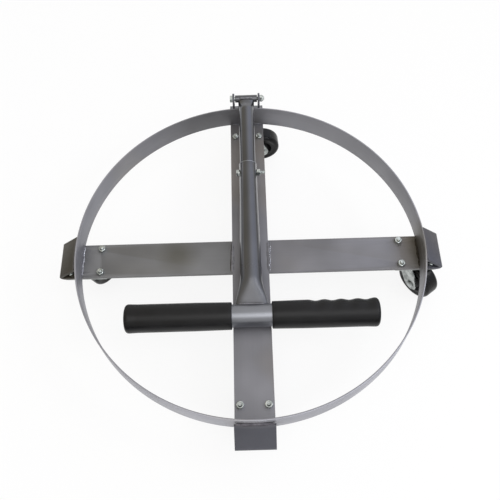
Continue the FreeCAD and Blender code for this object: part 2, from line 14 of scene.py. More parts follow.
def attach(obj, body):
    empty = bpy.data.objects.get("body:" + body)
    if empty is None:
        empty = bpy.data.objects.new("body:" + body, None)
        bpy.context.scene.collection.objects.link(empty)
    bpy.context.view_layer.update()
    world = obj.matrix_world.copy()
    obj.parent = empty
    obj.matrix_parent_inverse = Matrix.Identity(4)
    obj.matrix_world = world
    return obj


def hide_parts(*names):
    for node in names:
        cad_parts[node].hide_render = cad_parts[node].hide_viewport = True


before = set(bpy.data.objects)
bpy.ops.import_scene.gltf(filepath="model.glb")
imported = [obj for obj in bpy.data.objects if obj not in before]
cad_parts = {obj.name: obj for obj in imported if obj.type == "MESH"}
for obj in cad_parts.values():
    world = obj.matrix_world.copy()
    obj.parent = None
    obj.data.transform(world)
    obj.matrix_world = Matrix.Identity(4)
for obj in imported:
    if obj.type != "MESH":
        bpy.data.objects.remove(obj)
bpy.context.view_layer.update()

# %% [markdown]
# ## The camera
# The place, turn and lens of the camera were found by matching the ring and the edges of the bars with
# the photograph. It looks down steeply from the front, with a slight roll.

# %% Camera
bpy.ops.object.camera_add(location=(0.00145, -0.36797, 0.77859),
                          rotation=[radians(a) for a in (27.912, 0.888, -1.402)])
camera = bpy.context.active_object
camera.data.lens = 46.46
camera.data.sensor_width = 36
camera.data.clip_start = 0.01
bpy.context.scene.camera = camera
bpy.context.scene.view_settings.view_transform = "Standard"
print("camera at", [round(v, 3) for v in camera.location])

# %% [markdown]
# ## Small helpers for modelling
# The pieces are modelled in millimetres round the origin, because that is how a maker reads a drawing, and
# are then put in their place in metres. An operator acts on what is selected, so each helper selects just
# the piece that it works on. A new primitive is selected alone.

# %% Helpers for selecting, tidying and modifiers
MM = 0.001


def only(piece):
    """Select this piece and nothing else."""
    bpy.ops.object.select_all(action="DESELECT")
    piece.select_set(True)
    bpy.context.view_layer.objects.active = piece


def apply_modifier(piece, kind, **settings):
    """Add a modifier, set it and apply it."""
    only(piece)
    step = piece.modifiers.new("step", kind)
    for key, value in settings.items():
        setattr(step, key, value)
    bpy.ops.object.modifier_apply(modifier=step.name)


def edit(piece):
    """Open this piece for editing, with all its points selected."""
    only(piece)
    bpy.ops.object.mode_set(mode="EDIT")
    bpy.ops.mesh.select_all(action="SELECT")


def push(*way):
    """Extrude what is selected along X, Y and Z."""
    bpy.ops.mesh.extrude_region_move(TRANSFORM_OT_translate={"value": way})


def tidy(piece):
    """Merge doubled points and turn every face outwards."""
    bpy.ops.object.mode_set(mode="OBJECT")
    edit(piece)
    bpy.ops.mesh.remove_doubles(threshold=0.0005)
    bpy.ops.mesh.normals_make_consistent(inside=False)
    bpy.ops.object.mode_set(mode="OBJECT")


def combine(piece, tool, how):
    """Cut, join or cross a piece with a tool, which is used up."""
    apply_modifier(piece, "BOOLEAN", object=tool, operation=how, solver="EXACT")
    bpy.data.objects.remove(tool)


def round_edges(piece, width):
    """Break every sharp edge, as a file or a tumbler does."""
    apply_modifier(piece, "BEVEL", width=width, segments=2, limit_method="ANGLE",
                   angle_limit=radians(38), use_clamp_overlap=True)


def disc_tool(radius, depth, place, axis="Z", points=40):
    """A plain cylinder to cut or join with."""
    turn = {"X": (0, pi / 2, 0), "Y": (pi / 2, 0, 0), "Z": (0, 0, 0)}[axis]
    bpy.ops.mesh.primitive_cylinder_add(vertices=points, radius=radius, depth=depth, location=place,
                                        rotation=turn)
    return bpy.context.active_object


# %% [markdown]
# Most round and flowing pieces are lofts: a circle is extruded once for each ring, and each ring's points
# are then put where the outline says. A closed circle gives a solid with caps, and an open one a skin.

# %% Helpers for lofts, plates and turned pieces
def place_of(point, count):
    """Which point of a unit circle this is, counted from its first."""
    return round(atan2(point.co.x, point.co.y) / (2 * pi) * count) % count


def loft(rings, capped=True):
    """Extrude a circle ring by ring, then put every ring's points in place."""
    count = len(rings[0])
    bpy.ops.mesh.primitive_circle_add(vertices=count, radius=1, fill_type="NGON" if capped else "NOTHING")
    piece = bpy.context.active_object
    edit(piece)
    for _ in rings[1:]:
        push(0, 0, 1)
    bpy.ops.object.mode_set(mode="OBJECT")
    for point in piece.data.vertices:
        point.co = rings[round(point.co.z)][place_of(point, count)]
    tidy(piece)
    return piece


def circle(radius, height, points):
    """Points round Z at one height."""
    angles = [2 * pi * i / points for i in range(points)]
    return [(radius * cos(angle), radius * sin(angle), height) for angle in angles]


def turned_solid(profile, points):
    """A solid turned about Z from (radius, height) steps, closed at both ends."""
    return loft([circle(radius, height, points) for radius, height in profile])


def spun_ring(section, steps):
    """A ring spun about Z from a closed (radius, height) section."""
    bpy.ops.mesh.primitive_circle_add(vertices=len(section), radius=1)
    piece = bpy.context.active_object
    for point in piece.data.vertices:
        radius, height = section[place_of(point, len(section))]
        point.co = (radius, 0, height)
    edit(piece)
    bpy.ops.mesh.spin(steps=steps, angle=2 * pi, center=(0, 0, 0), axis=(0, 0, 1))
    tidy(piece)
    return piece


def plate(outline, thickness):
    """A flat plate: an outline in XY, extruded up by its thickness."""
    bpy.ops.mesh.primitive_circle_add(vertices=len(outline), radius=1, fill_type="NGON")
    piece = bpy.context.active_object
    for point in piece.data.vertices:
        point.co = (*outline[place_of(point, len(outline))], 0)
    edit(piece)
    push(0, 0, thickness)
    tidy(piece)
    return piece


def bow(centre, radius, first, last, steps):
    """Points along an arc, angles in radians."""
    angles = [first + (last - first) * i / steps for i in range(steps + 1)]
    return [(centre[0] + radius * cos(angle), centre[1] + radius * sin(angle)) for angle in angles]


# %% [markdown]
# A finished piece goes to its place in metres, with its place kept in its mesh. It then rides on a body,
# stands for the plain solids that it replaces, and takes a finish.

# %% Helpers for finishing a piece
def copy_of(piece):
    twin = piece.copy()
    twin.data = piece.data.copy()
    bpy.context.scene.collection.objects.link(twin)
    return twin


def shift(x, y, z):
    """A place moved from the origin."""
    return Matrix.Translation((x, y, z))


def put(piece, place=Matrix.Identity(4)):
    """Apply a place, given in millimetres, to the piece's own mesh."""
    only(piece)
    piece.matrix_world = place @ piece.matrix_world
    bpy.ops.object.transform_apply(location=True, rotation=True, scale=True)
    return piece


def joined(pieces):
    """Join several pieces into one."""
    bpy.ops.object.select_all(action="DESELECT")
    for piece in pieces:
        piece.select_set(True)
    bpy.context.view_layer.objects.active = pieces[0]
    bpy.ops.object.join()
    return pieces[0]


def finish(piece, name, body, node, slot, material, smooth=35):
    """Bring a piece to metres, name it and give it its body, its plain solid and its finish."""
    put(piece, Matrix.Scale(MM, 4))
    only(piece)
    bpy.ops.object.shade_smooth_by_angle(angle=radians(smooth))
    piece.name = piece.data.name = name
    piece.data.materials.clear()
    piece.data.materials.append(material)
    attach(piece, body)
    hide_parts(node)


# %% [markdown]
# ## Materials
# Each finish starts from the real stuff. One function turns an sRGB hex colour to the linear numbers a
# shader works with, and one adds a node with its settings and links. Short ones make the steps that the
# finishes share: noise, a range, a ramp of shades, a mix, and the links to the shader.

# %% Helpers for materials
def colour(code):
    """An sRGB hex colour as linear RGBA."""
    parts = [int(code[i:i + 2], 16) / 255 for i in (1, 3, 5)]
    return [c / 12.92 if c <= 0.04045 else ((c + 0.055) / 1.055) ** 2.4 for c in parts] + [1]


def add(tree, kind, links=None, **settings):
    """Add a node. Links holds a value or another node's output for each named input."""
    made = tree.nodes.new("ShaderNode" + kind)
    for key, value in settings.items():
        setattr(made, key, value)
    for key, value in (links or {}).items():
        if isinstance(value, bpy.types.NodeSocket):
            tree.links.new(value, made.inputs[key])
        else:
            made.inputs[key].default_value = value
    return made


def new_material(name, **values):
    """A material whose plain values are set on the shader's own sockets."""
    made = bpy.data.materials.new(name)
    made.use_nodes = True
    shader = made.node_tree.nodes["Principled BSDF"]
    for key, value in values.items():
        shader.inputs[key.replace("_", " ")].default_value = value
    return made, made.node_tree, shader


def noise(tree, where, scale, detail):
    """Soft noise over a place, as a factor."""
    return add(tree, "TexNoise", {"Vector": where, "Scale": scale, "Detail": detail}).outputs["Fac"]


def span(tree, value, low, high, to_low=0.0, to_high=1.0):
    """Carry a value from one range to another, held at both ends."""
    ends = {"From Min": low, "From Max": high, "To Min": to_low, "To Max": to_high}
    return add(tree, "MapRange", {"Value": value, **ends}).outputs[0]


def shades(tree, factor, low, high, dark, pale):
    """A colour that goes from dark to pale while the factor goes from low to high."""
    made = add(tree, "ValToRGB", {"Fac": factor})
    first, last = made.color_ramp.elements
    first.position, last.position = low, high
    first.color, last.color = colour(dark), colour(pale)
    return made.outputs["Color"]


def mix(tree, factor, one, other, how="MIX"):
    """Two colours, mixed or multiplied by a factor."""
    made = add(tree, "Mix", {"Factor": factor, 6: one, 7: other}, data_type="RGBA", blend_type=how)
    return made.outputs[2]


def dress(tree, shader, shade, rough, relief, bumpy, deep=0.2 * MM):
    """Link the shader to its colour, its roughness and a fine relief."""
    bump = add(tree, "Bump", {"Height": relief, "Strength": bumpy, "Distance": deep})
    for key, value in (("Base Color", shade), ("Roughness", rough), ("Normal", bump.outputs[0])):
        tree.links.new(value, shader.inputs[key])


# %% [markdown]
# ### Rolled steel bar
# The ring and the bars are bare rolled steel with a satin skin. Rolling leaves faint streaks along the
# length and slow clouds of lighter and darker grey, with a trace of brown. Real streaks are a few tenths of
# a millimetre wide, so they are drawn about 2 mm wide to show at all. Past their folds the bar ends are
# painted darker, a painted shade for the sloping braces, which turn away from the room's bright ceiling.
# This painted shade is brown on the left and blue-grey on the right.

# %% Rolled steel
ring_r, ring_wall, ring_height = 210, 2, 32


def rolled_steel(name, along, far, reach_mm, greys=("#6f6f73", "#838388", "#776f64"), patches_and_painted_shade=()):
    """Satin rolled steel whose streaks run along X, along Y or, by the piece's own map, along U.
    The greys are dark, pale and warm. Far multiplies the colour between two distances from the middle of
    the trolley, as painted shade on the bars' ends and painted light on the ring. A patch is a place, the
    reach of its full and of its faint part, and a shade; some patches are painted shade and painted
    reflection."""
    made, tree, shader = new_material(name, Metallic=0.5)
    coords = add(tree, "TexCoord")
    streak_mm, run_mm, cloud_mm = 2.0, 90.0, 70.0
    if along == "U":
        where, round_mm = coords.outputs["UV"], 2 * pi * ring_r
        streak_scale = (round_mm / run_mm, ring_height / streak_mm, 1)
        cloud_scale = (round_mm / cloud_mm, ring_height / cloud_mm, 1)
    else:
        where, fine, slow = coords.outputs["Object"], 1 / MM / streak_mm, 1 / MM / run_mm
        streak_scale = (slow, fine, fine) if along == "X" else (fine, slow, fine)
        cloud_scale = (1 / MM / cloud_mm,) * 3
    streaks = add(tree, "Mapping", {"Vector": where, "Scale": streak_scale}).outputs[0]
    clouds = add(tree, "Mapping", {"Vector": where, "Scale": cloud_scale}).outputs[0]
    dark, pale, warm = greys
    streak = noise(tree, streaks, 1.0, 3.0)
    tone = shades(tree, noise(tree, clouds, 1.0, 2.0), 0.3, 0.7, dark, pale)
    brown = span(tree, noise(tree, clouds, 0.6, 1.0), 0.55, 0.75, 0.0, 0.6)
    tone = mix(tree, brown, tone, colour(warm))
    flat = add(tree, "VectorMath", {0: coords.outputs["Object"], 1: (1, 1, 0)}, operation="MULTIPLY")
    away = add(tree, "VectorMath", {0: flat.outputs[0]}, operation="LENGTH").outputs["Value"]
    # Painted shade and painted light: far darkens the bars past their folds and brightens the ring's outer
    # face and top edge.
    tone = mix(tree, span(tree, away, *[v * MM for v in reach_mm]), tone, (*far, 1), "MULTIPLY")
    # Some patches are painted: the ring's darker reflection of the right bar, and the right bar's darker
    # end, which deepens its brace's painted shade.
    for place, full, faint, shade in patches_and_painted_shade:
        middle = [v * MM for v in place]
        spot = add(tree, "VectorMath", {0: flat.outputs[0], 1: middle}, operation="DISTANCE")
        near = span(tree, spot.outputs["Value"], faint * MM, full * MM)
        tone = mix(tree, near, tone, (*shade, 1), "MULTIPLY")
    dress(tree, shader, tone, span(tree, streak, 0.3, 0.7, 0.4, 0.52), streak, 0.05)
    return made


# The bars' colour changes at their folds, just past the ring, as painted shade on the braces. The ring is
# brighter on its outer face and on the outer part of its top edge, a painted reflection of the floor and a
# painted highlight. It is darker at the back, on the left of the weld. Where it meets the right bar it is
# darker, a painted reflection of that bar, and that bar darkens towards the ring and over its end, which
# deepens the painted shade on its brace. A brown patch lies across the left bar, and the left bar's greys
# are darker than the others', a painted shade for the dim left side.
fold_mm, edge_mm = (208, 216), (208.8, 209.5)
# The left bar's greys are darker than the others', painted shade for the dim left side; its brown far is
# painted shade on its brace.
steel_left = rolled_steel("rolled steel, left bar", "X", (0.32, 0.28, 0.21), fold_mm,
                          ("#666666", "#777777", "#6a6256"), [((-90, 4, 0), 6, 30, (0.7, 0.68, 0.6))])
# The right bar's blue-grey far is painted shade on its brace.
steel_right = rolled_steel("rolled steel, right bar", "X", (0.52, 0.54, 0.68), fold_mm,
                           patches_and_painted_shade=[((250, 0, 0), 45, 62, (0.74, 0.73, 0.66))])
# The long bar's far is painted shade on the front and back braces and on the hinge ears.
steel_along = rolled_steel("rolled steel, long bar", "Y", (0.45, 0.46, 0.5), fold_mm)
# The ring's far is painted light on its outer face and top edge; its patch at the right bar is a painted
# reflection of that bar.
steel_band = rolled_steel("rolled steel band", "U", (1.55, 1.56, 1.58), edge_mm,
                          ("#7f7f84", "#8d8d92", "#89837a"), [((-60, 200, 0), 15, 110, (0.55, 0.55, 0.53)),
                                                              ((208, 0, 0), 14, 34, (0.62, 0.62, 0.6))])
print("made rolled steel for the bars and the ring")

# %% [markdown]
# ### Drawn steel tube
# The handle's tubes are drawn through a die, which leaves them smoother than the bars. They mirror their
# surroundings in long soft strips, with hair lines along the length. A coat of clear lacquer on the two
# long tubes brightens the strips at their sides, and the press has scuffed the flattened end.

# %% Drawn tube
def drawn_tube(name, along, dark, pale, low, high, lacquer, scuffed):
    """Drawn steel with hair lines along X or Y. Its roughness wanders from low to high, and grows by scuffed
    towards the flattened end, which lies in front of the trolley's middle."""
    made, tree, shader = new_material(name, Metallic=1.0, Coat_Weight=lacquer, Coat_Roughness=0.3)
    where = add(tree, "TexCoord").outputs["Object"]
    hair_mm, run_mm, cloud_mm = 1.6, 60.0, 45.0
    scuff_from, scuff_to = -15, -55
    fine, slow = 1 / MM / hair_mm, 1 / MM / run_mm
    scale = (slow, fine, fine) if along == "X" else (fine, slow, fine)
    hair = noise(tree, add(tree, "Mapping", {"Vector": where, "Scale": scale}).outputs[0], 1.0, 2.0)
    tone = shades(tree, noise(tree, where, 1 / MM / cloud_mm, 2.0), 0.3, 0.7, dark, pale)
    place = add(tree, "SeparateXYZ", {0: where}).outputs["Y"]
    scuff = span(tree, place, scuff_from * MM, scuff_to * MM, 0.0, scuffed)
    rough = add(tree, "Math", {0: span(tree, hair, 0.3, 0.7, low, high), 1: scuff}, operation="ADD")
    dress(tree, shader, tone, rough.outputs[0], hair, 0.015)
    return made


tube_steel = drawn_tube("drawn steel tube, lacquered", "Y", "#4d4e52", "#595a5e", 0.14, 0.22, 0.8, 0.3)
tee_steel = drawn_tube("drawn steel tee bar", "X", "#828489", "#8e9096", 0.32, 0.4, 0.0, 0.0)
print("made drawn tube for the handle")

# %% [markdown]
# ### Zinc plate, weld metal and bearing steel
# Screws and forks are zinc plated and passivated, which gives a pale metal with a green and blue tinge that
# wanders over a few millimetres. Most weld metal is dull grey like the bars; a pale copy of it is a painted
# highlight, a darker copy is painted shade like the braces', and the darkest is a painted shadow.

# %% Zinc plate and weld metal
def plated(name, dark, pale, patch_mm, low, high, bumpy):
    """A metal whose shade and gloss wander in patches."""
    made, tree, shader = new_material(name, Metallic=1.0)
    where = add(tree, "TexCoord").outputs["Object"]
    patch = noise(tree, where, 1 / MM / patch_mm, 3.0)
    grain = noise(tree, where, 4 / MM / patch_mm, 2.0)
    tone = shades(tree, patch, 0.35, 0.65, dark, pale)
    dress(tree, shader, tone, span(tree, patch, 0.35, 0.65, high, low), grain, bumpy)
    return made


zinc = plated("zinc plate on steel", "#9aa09d", "#cfd4d2", 5, 0.1, 0.22, 0.05)
pressed_zinc = plated("zinc plate on pressed steel", "#868a88", "#b9bdbb", 7, 0.22, 0.38, 0.12)
# The pale weld metal is a painted highlight; of the two darkest below, the first is painted shade like the
# braces' and the second a painted shadow.
bright_weld = plated("bright weld metal", "#8a8a8f", "#d4d5da", 3, 0.15, 0.35, 0.25)
dull_weld = plated("dull weld metal", "#6e6e72", "#818186", 4, 0.36, 0.48, 0.12)
weld_painted_shade = plated("weld metal, painted shade", "#4f4d52", "#5d5b60", 4, 0.4, 0.5, 0.12)
weld_painted_shadow = plated("weld edge, painted shadow", "#2e2b26", "#4a453d", 4, 0.45, 0.6, 0.15)
ground_steel = plated("ground bearing steel", "#b5b6ba", "#c6c7cb", 8, 0.15, 0.22, 0.02)
print("made zinc, weld metal and bearing steel")

# %% [markdown]
# ### Moulded rubber and plastic
# The grips are moulded rubber with a dull, very fine grain. The tyres are smoother and shinier, and the
# wheel cores are black moulded plastic. Real moulding grain is about a tenth of a millimetre, drawn here at
# 0.8 mm.

# %% Rubber and plastic
def moulded(name, dark, pale, low, high, bumpy, gloss):
    """A moulded stuff with a fine grain, and smears in its shade and its roughness, from low to high."""
    made, tree, shader = new_material(name, IOR=1.5, Specular_IOR_Level=gloss)
    where = add(tree, "TexCoord").outputs["Object"]
    grain_mm, smear_mm = 0.8, 24.0
    grain = noise(tree, where, 1 / MM / grain_mm, 2.0)
    smear = noise(tree, where, 1 / MM / smear_mm, 3.0)
    tone = shades(tree, smear, 0.35, 0.7, dark, pale)
    dress(tree, shader, tone, span(tree, smear, 0.3, 0.7, low, high), grain, bumpy, 0.3 * MM)
    return made


grip_rubber = moulded("moulded grip rubber", "#101011", "#161617", 0.34, 0.44, 0.1, 0.26)
tyre_rubber = moulded("moulded tyre rubber", "#070708", "#0d0d0e", 0.2, 0.32, 0.05, 0.2)
core_plastic = moulded("moulded wheel plastic", "#0a0a0b", "#101011", 0.24, 0.36, 0.05, 0.2)
print("made rubber and plastic")

# %% [markdown]
# ## The ring
# The ring is a flat strip on edge, rolled to a circle. A cylinder with no ends is the strip's outer face.
# Solidify gives it its thickness inwards, and a small bevel breaks the four edges, so that the top edge
# catches the light as a bright line.

# %% Ring
bar_top = 66.5

bpy.ops.mesh.primitive_cylinder_add(vertices=288, radius=ring_r, depth=ring_height, end_fill_type="NOTHING",
                                    location=(0, 0, bar_top + ring_height / 2))
band = put(bpy.context.active_object)
apply_modifier(band, "SOLIDIFY", thickness=ring_wall, offset=-1)
round_edges(band, width=0.35)
finish(band, "ring_band", "chassis", "drum_ring", "frame_steel", steel_band)
print("ring", ring_r * 2, "mm across")

# %% [markdown]
# ## The bars with their folded ends
# A folded bar is made as in a press: the bar's cross section is pushed along its length, spun round the fold
# and pushed back up to the ring. The long bar joins two such halves, whose back end is folded a little
# further out for the hinge, and the side arms start at the long bar's edge. Holes for the castor screws are
# cut through.

# %% Bars
bar_width, bar_thick = 45, 4
bar_middle = bar_top - bar_thick / 2
fold_round, fold_z, brace_top_z = 5.7, 68.2, 89.1
fold_x, brace_angle = 228.3, radians(40.49)
back_fold, back_angle = 231.8, radians(35.51)
swivel_r, hole_along, hole_across, hole_r = 203.2, 18, 16, 2.75
HOLES = [(i * hole_along, j * hole_across) for i in (-1, 1) for j in (-1, 1)]
overlap = 10


def folded_bar(start, fold, angle):
    """A bar along X from start, folded up and back at its outer end."""
    bpy.ops.mesh.primitive_plane_add(size=1, location=(start, 0, bar_middle), rotation=(0, pi / 2, 0))
    bar = bpy.context.active_object
    bar.scale = (bar_thick, bar_width, 1)
    put(bar)
    edit(bar)
    push(fold - start, 0, 0)
    bpy.ops.mesh.spin(steps=18, angle=pi - angle, center=(fold, 0, fold_z), axis=(0, 1, 0))
    rise = brace_top_z - fold_z - fold_round * cos(angle)
    push(-rise / tan(angle), 0, rise)
    tidy(bar)
    for along, across in HOLES:
        place = (swivel_r + along, across, bar_middle)
        combine(bar, disc_tool(hole_r, 2 * bar_thick, place), "DIFFERENCE")
    return bar


def quarter(turns):
    """So many quarter turns about the ring's axis."""
    return Matrix.Rotation(turns * pi / 2, 4, "Z")


arm = folded_bar(bar_width / 2, fold_x, brace_angle)
long_bar = put(folded_bar(0, back_fold, back_angle), quarter(1))
combine(long_bar, put(folded_bar(-overlap, fold_x, brace_angle), quarter(-1)), "UNION")
for bar in (arm, long_bar):
    round_edges(bar, width=0.4)
left_arm = put(copy_of(arm), quarter(2))
print("bars folded at", fold_x, "and, at the back,", back_fold, "mm from the middle")
finish(arm, "right_bar", "chassis", "right_arm", "frame_steel", steel_right)
finish(left_arm, "left_bar", "chassis", "left_arm", "frame_steel", steel_left)
finish(long_bar, "front_back_bar", "chassis", "long_bar", "frame_steel", steel_along)

# %% [markdown]
# ## The hinge ears
# Two plates with round tops stand on the back brace and hold the hinge bolt. Each is an outline of two
# straight sides that run tangent to a round end, extruded by the plate's thickness and drilled.

# %% Hinge ears
hinge_y, hinge_z = 218.9, 106.5
ear_inner, ear_thick, ear_round, ear_foot, ear_inset = 15.7, 2.5, 7, 21, 0.8
ear_outer = ear_inner + ear_thick
brace_top = (ring_r + bar_thick * sin(back_angle), brace_top_z)


def down_brace(way):
    """The point in the YZ plane that lies so far down the back brace's outer face."""
    return (brace_top[0] + cos(back_angle) * way, brace_top[1] - sin(back_angle) * way)


def tangent(point, centre, radius, side):
    """The angle on a circle at which a line from the point touches it, on one side or the other."""
    du, dv = point[0] - centre[0], point[1] - centre[1]
    return atan2(dv, du) + side * acos(radius / hypot(du, dv))


def ear():
    """A plate in the YZ plane, extruded along X."""
    top, low = down_brace(ear_inset), down_brace(ear_inset + ear_foot)
    first = tangent(low, (hinge_y, hinge_z), ear_round, 1)
    last = tangent(top, (hinge_y, hinge_z), ear_round, -1) + 2 * pi
    side = plate([top, low] + bow((hinge_y, hinge_z), ear_round, first, last, 24), ear_thick)
    # The outline's X and Y become Y and Z, and its thickness becomes X.
    put(side, Matrix(((0, 0, 1, 0), (1, 0, 0, 0), (0, 1, 0, 0), (0, 0, 0, 1))))
    combine(side, disc_tool(hole_r, 4 * ear_thick, (0, hinge_y, hinge_z), "X"), "DIFFERENCE")
    round_edges(side, width=0.3)
    return side


right_ear = ear()
left_ear = put(copy_of(right_ear), shift(-ear_outer, 0, 0))
put(right_ear, shift(ear_inner, 0, 0))
finish(left_ear, "ear_left", "chassis", "hinge_ear_left", "frame_steel", steel_along)
finish(right_ear, "ear_right", "chassis", "hinge_ear_right", "frame_steel", steel_along)
print("ears", ear_thick, "mm thick")

# %% [markdown]
# ## The handle's tubes
# The outer tube slides over the inner one and is pressed into a flat fishtail where it meets the tee bar.
# The inner tube's end is pressed down to sit on the hinge barrel. Each tube is a loft of round sections that
# ease into a flat section with round sides, and Solidify gives it its wall.
# The handle is modelled lying straight from the hinge and is tilted down onto the front bar at the end.

# %% Handle tubes
handle_length, tee_z = 304, 80.3
rest_angle = asin((hinge_z - tee_z) / handle_length)
handle_place = shift(0, hinge_y, hinge_z) @ Matrix.Rotation(rest_angle, 4, "X")
TUBE_POINTS = 64


def tube_section(place, width, height):
    """Round where width and height agree, and a flattened round with full sides elsewhere."""
    ring, power = [], 2 / (2 + 2 * (1 - height / width) ** 2)
    for i in range(TUBE_POINTS):
        angle = 2 * pi * (i + 0.5) / TUBE_POINTS
        c, s = cos(angle), sin(angle)
        x, z = copysign(abs(c) ** power, c), copysign(abs(s) ** power, s)
        ring.append((x * width / 2, -place, z * height / 2))
    return ring


def pressed(start, end, first, last, steps=20):
    """Stations along a smooth ease from one (width, height) to another."""
    out = []
    for i in range(steps + 1):
        t = i / steps
        ease = t * t * (3 - 2 * t)
        out.append((start + (end - start) * t, first[0] + (last[0] - first[0]) * ease,
                    first[1] + (last[1] - first[1]) * ease))
    return out


def tube(stations, wall):
    """A tube through stations of (place, width, height), put in the handle's place."""
    made = loft([tube_section(*station) for station in stations], capped=False)
    apply_modifier(made, "SOLIDIFY", thickness=wall, offset=-1)
    round_edges(made, width=0.3)
    return put(made, handle_place)


# A section is a width and a height, and a station puts one at a distance from the hinge.
inner_round, inner_flat, inner_wall, inner_end = (20, 20), (21, 8.6), 1.5, 152
mouth_round, outer_round, outer_flat, outer_wall, mouth_at = (22.6, 22.6), (26.4, 26.4), (38, 8.4), 1.2, 102
inner_stations = [(3.4, *inner_flat)] + pressed(5.5, 21, inner_flat, inner_round)
inner_stations += [(inner_end, *inner_round)]
outer_stations = [(mouth_at, *mouth_round), (inner_end, *mouth_round), (246, *outer_round)]
outer_stations += pressed(258, 293, outer_round, outer_flat)[:-1] + [(292, *outer_flat)]
inner_tube, outer_tube = tube(inner_stations, inner_wall), tube(outer_stations, outer_wall)
finish(inner_tube, "handle_inner_tube", "handle", "inner_tube", "tube_steel", tube_steel)
finish(outer_tube, "handle_outer_tube", "handle", "outer_tube", "tube_steel", tube_steel)
# The outer tube's mouth is rolled to a small lip, which takes the brighter tee steel as a painted highlight.
lip_half = 0.7
upper = [(11.42, 0), (11.3, 0.5), (11.0, lip_half), (10.2, lip_half)]
lip = spun_ring([(r, -h) for r, h in reversed(upper[1:])] + upper, 64)
lip_place = handle_place @ shift(0, -mouth_at - lip_half, 0)
put(lip, lip_place @ Matrix.Rotation(pi / 2, 4, "X"))
finish(lip, "handle_tube_lip", "handle", "outer_tube", "tube_steel", tee_steel)
print("handle", handle_length, "mm long, tilted", round(degrees(rest_angle), 2), "degrees")

# %% [markdown]
# ## The tee bar and the hinge barrel
# Both are plain tubes, spun from their wall's section. A spun ring stands along Z, so it is turned to lie
# along X.

# %% Tee bar and barrel
along_x = Matrix.Rotation(pi / 2, 4, "Y")
tee_r, tee_bore, tee_length = 13.5, 11.5, 287
barrel_r, barrel_bore, barrel_length = 4.8, 2.6, 29.4


def straight_tube(radius, bore, length, edge=0.4):
    """A tube along X whose outer edges are broken."""
    half = length / 2
    section = [(bore, -half), (radius - edge, -half), (radius, edge - half), (radius, half - edge),
               (radius - edge, half), (bore, half)]
    return put(spun_ring(section, 64), along_x)


tee_place = handle_place @ shift(0, -handle_length, 0)
tee = put(straight_tube(tee_r, tee_bore, tee_length), tee_place)
finish(tee, "handle_tee", "handle", "tee_bar", "tube_steel", tee_steel)
barrel = put(straight_tube(barrel_r, barrel_bore, barrel_length), handle_place)
finish(barrel, "handle_barrel", "handle", "hinge_barrel", "tube_steel", tube_steel)

# %% [markdown]
# ## The grips
# A grip is one moulding: a plain part, four finger hollows on one side, and a rounded closed end. The loft's
# rings follow the outside from the mouth to the end, and a cut makes the bore for the tube.

# %% Grips
grip_length, grip_plain, groove_pitch, groove_depth = 124.2, 41.5, 19.5, 1.5
grip_at, grip_end_wall = 23.3, 4
GRIP_POINTS = 72


def grip_ring(place, radius, depth):
    """An outline across X, with a hollow of this depth on the Y side."""
    ring = []
    for i in range(GRIP_POINTS):
        angle = 2 * pi * i / GRIP_POINTS
        reach = radius - depth * max(0, cos(angle)) ** 2
        ring.append((place, reach * cos(angle), reach * sin(angle)))
    return ring


def grip():
    """A grip along X from its mouth to its closed end."""
    mouth, full, end, mouth_edge, end_round = 16.1, 16.6, 17.0, 1.2, 4.5
    rings = []
    for i in range(5):
        turn = i * pi / 8
        rings.append(grip_ring(mouth_edge * (1 - cos(turn)), mouth - mouth_edge * (1 - sin(turn)), 0))
    rings += [grip_ring(grip_plain * i / 6, mouth + (full - mouth) * i / 6, 0) for i in range(1, 6)]
    # The four hollows take 16 steps each, and the last half of the last one swells to the end's size.
    for i in range(65):
        along = i / 16
        swell = (end - full) * max(0, along - 3.5) * 2
        rings.append(grip_ring(grip_plain + groove_pitch * along, full + swell,
                               groove_depth * sin(pi * along) ** 2))
    for i in range(1, 9):
        turn = pi / 2 * i / 8
        rings.append(grip_ring(grip_length - end_round * (1 - sin(turn)),
                               end - end_round * (1 - cos(turn)), 0))
    made = loft(rings)
    combine(made, disc_tool(tee_r, 2 * (grip_length - grip_end_wall), (0, 0, 0), "X", 64), "DIFFERENCE")
    return made


right_grip = grip()
left_grip = put(copy_of(right_grip), Matrix.Scale(-1, 4, (1, 0, 0)))
tidy(left_grip)
for made, side, turn in ((right_grip, 1, 25), (left_grip, -1, -65)):
    spot = handle_place @ shift(side * grip_at, -handle_length, 0)
    put(made, spot @ Matrix.Rotation(radians(turn), 4, "X"))
finish(right_grip, "rubber_grip_right", "handle", "grip_right", "grip_rubber", grip_rubber)
finish(left_grip, "rubber_grip_left", "handle", "grip_left", "grip_rubber", grip_rubber)
print("grips", grip_length, "mm long")

# %% [markdown]
# ## Weld beads
# A bead is laid as a row of overlapping pools, so its surface ripples along its run. A bead here is a loft
# along X whose size swells and sinks with each pool, with a little unevenness from sines that never line up.
# Its ends taper away. Most beads are dull grey like the bars. The pale weld metal on one at the ring's foot
# and one at the cross is a painted highlight, the darker metal in the grooves between ring and braces is
# painted shade like the braces', and the darkest, along the left cross and at the right ring foot, is a
# painted shadow, so the beads are joined by finish.

# %% Weld beads
def bead(length, width, height, pool, seed, rough=0.12, wander=0.15, sunk=0.4):
    """A crowned bead along X, sunk below Z = 0. The seed says where its pools and its sines begin."""
    rings, steps = [], max(24, int(length * 4))
    for i in range(steps + 1):
        t = i / steps
        x = (t - 0.5) * length
        taper = sqrt(max(0.02, 1 - abs(2 * t - 1) ** 6))
        ripple = abs(sin(pi * x / pool + seed))
        drift = sin(x * 0.41 + seed * 3) + sin(x * 1.07 + seed * 7) / 2
        size = taper * (1 - rough + rough * ripple + rough * 0.5 * drift)
        ring = []
        for k in range(16):
            angle = 2 * pi * k / 16
            z = sin(angle)
            arc = x - pool * 0.35 * cos(angle) ** 2 * taper
            ring.append((arc, width / 2 * size * cos(angle) + wander * width * rough * drift,
                         height * size * z * z if z > 0 else sunk * z))
        rings.append(ring)
    return loft(rings)


